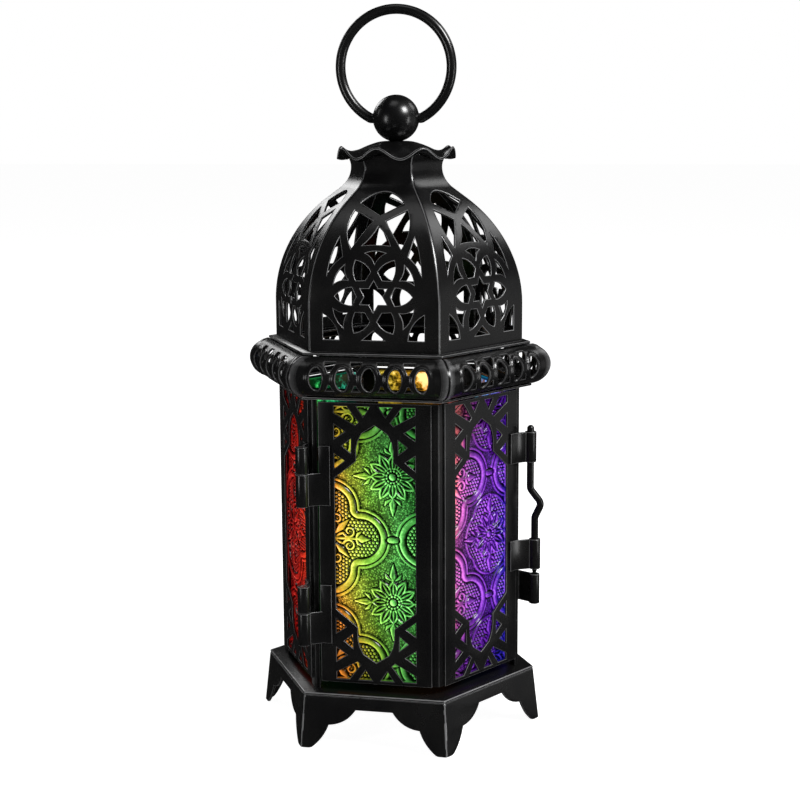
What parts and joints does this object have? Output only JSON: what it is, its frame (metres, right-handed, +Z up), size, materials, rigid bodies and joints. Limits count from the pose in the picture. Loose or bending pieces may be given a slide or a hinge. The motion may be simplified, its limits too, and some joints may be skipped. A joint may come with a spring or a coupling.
{
  "type": "ramadan fanous lantern",
  "caption": "Hexagonal fanous lantern of pierced black metal and coloured glass, with a domed top, a hinged wrap-round door, a drop bolt and a swinging carrying ring.",
  "frame": {"origin": "middle of the base's footprint, on the surface the feet stand on", "axes": "+Z up along the lantern's axis; corners of the hexagon lie on +X and -X; the door's front panel faces -Y and its right panel faces +X and -Y"},
  "size_m": [0.1118, 0.0968, 0.2572],
  "materials": {
    "black_metal": "satin black paint",
    "plain_steel": "darkened steel",
    "green_glass": "moulded, painted green running to yellow and orange",
    "violet_glass": "moulded, painted violet running to pink and blue",
    "blue_glass": "moulded, painted blue",
    "amber_glass": "moulded, painted amber",
    "teal_glass": "moulded, painted teal",
    "red_glass": "moulded, painted red"
  },
  "bodies": {
    "lantern": {"base_top": "black_metal", "base_skirt": "black_metal", "candle_cup": "black_metal", "cup_rivet": "black_metal", "hinge_post": "black_metal", "latch_post": "black_metal", "back_right_post": "black_metal", "back_left_post": "black_metal", "left_post": "black_metal", "back_right_plate": "black_metal", "back_plate": "black_metal", "back_left_plate": "black_metal", "left_plate": "black_metal", "back_right_pane": "blue_glass", "back_pane": "amber_glass", "back_left_pane": "teal_glass", "left_pane": "red_glass", "pane_clips": "black_metal", "lower_seat": "black_metal", "front_collar": "black_metal", "right_collar": "black_metal", "back_right_collar": "black_metal", "back_collar": "black_metal", "back_left_collar": "black_metal", "left_collar": "black_metal", "upper_seat": "black_metal", "front_gore": "black_metal", "right_gore": "black_metal", "back_right_gore": "black_metal", "back_gore": "black_metal", "back_left_gore": "black_metal", "left_gore": "black_metal", "crown": "black_metal", "ball": "black_metal", "ball_stud": "plain_steel", "stud_nut": "plain_steel", "upper_hinge_frame_leaf": "black_metal", "lower_hinge_frame_leaf": "black_metal", "upper_hinge_pin": "plain_steel", "lower_hinge_pin": "plain_steel", "bolt_keeper": "black_metal"},
    "door": {"door_post": "black_metal", "door_hinge_stile": "black_metal", "door_latch_stile": "black_metal", "front_plate": "black_metal", "right_plate": "black_metal", "front_pane": "green_glass", "right_pane": "violet_glass", "door_pane_clips": "black_metal", "upper_hinge_door_leaf": "black_metal", "lower_hinge_door_leaf": "black_metal", "upper_bolt_bracket": "black_metal", "lower_bolt_bracket": "black_metal"},
    "bolt": {"drop_bolt": "black_metal"},
    "ring": {"carrying_ring": "black_metal"}
  },
  "joints": [
    {"name": "door_hinge", "type": "hinge", "parent": "lantern", "child": "door", "pos_m": [-0.0248, -0.04296, 0.0722], "axis": [0, 0, -1], "range_deg": [0, 170]},
    {"name": "bolt_slide", "type": "slide", "parent": "door", "child": "bolt", "axis": [0, 0, 1], "range_m": [-0.0055, 0.007]},
    {"name": "ring_swing", "type": "hinge", "parent": "lantern", "child": "ring", "pos_m": [0, 0, 0.2178], "axis": [1, 0, 0], "range_deg": [-105, 105]}
  ]
}
